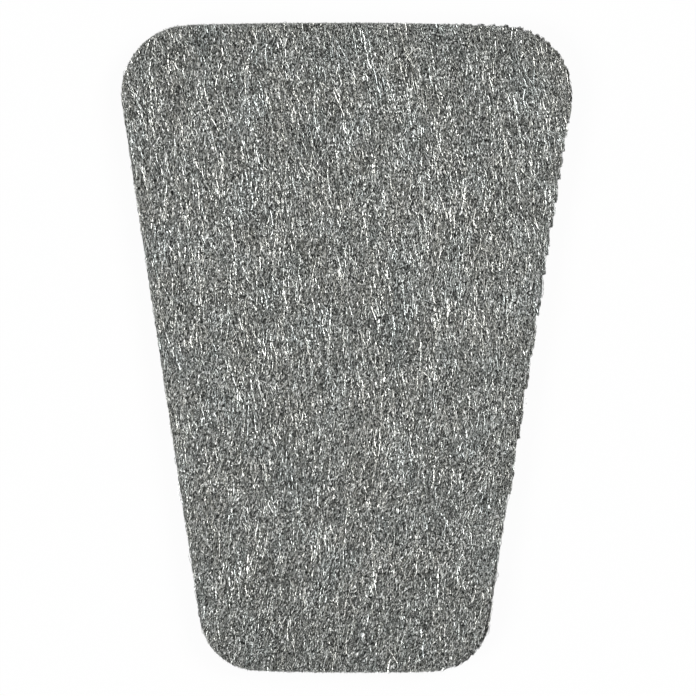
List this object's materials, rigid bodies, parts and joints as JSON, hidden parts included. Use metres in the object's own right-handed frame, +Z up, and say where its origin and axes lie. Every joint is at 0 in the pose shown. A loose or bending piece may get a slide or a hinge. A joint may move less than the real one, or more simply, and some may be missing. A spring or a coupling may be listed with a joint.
{
  "type": "steel wool pad",
  "caption": "Flat die-cut mat of combed steel wool, tapered with rounded corners, for scouring and polishing by hand.",
  "frame": {"origin": "on the bench, under the centre of the pad's bounding box", "axes": "+Y along the pad towards its wide end, +Z up out of the bench, +X across the pad"},
  "size_m": [0.0692, 0.1, 0.006],
  "materials": {
    "steel_wool": "combed steel strands with bright glints and dark gaps, bare and dry"
  },
  "bodies": {
    "root": {"wool_pad": "steel_wool"}
  },
  "joints": []
}
